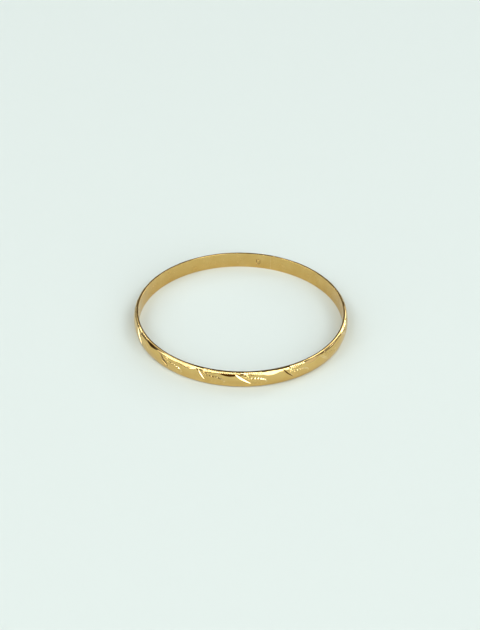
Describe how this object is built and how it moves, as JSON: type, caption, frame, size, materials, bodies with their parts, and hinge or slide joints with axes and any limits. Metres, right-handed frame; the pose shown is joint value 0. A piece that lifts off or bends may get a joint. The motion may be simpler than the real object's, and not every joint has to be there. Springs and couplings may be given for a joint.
{
  "type": "bangle bracelet",
  "caption": "Closed rigid slip-on bangle: a gold half-round band, flat and polished inside, with repeating diamond-cut engraving on its domed outside.",
  "frame": {"origin": "on the axis of the wrist opening, in the plane of the lower rim that the bangle stands on", "axes": "+Z along the axis of the wrist opening, +Y away from the front, +X to the right"},
  "size_m": [0.063, 0.063, 0.005],
  "materials": {
    "band_gold": "bright polished yellow gold, plain inside, diamond cut and dotted outside",
    "solder": "gold solder, filed and polished flush with the band"
  },
  "bodies": {
    "root": {"band": "band_gold", "solder_joint": "solder"}
  },
  "joints": []
}
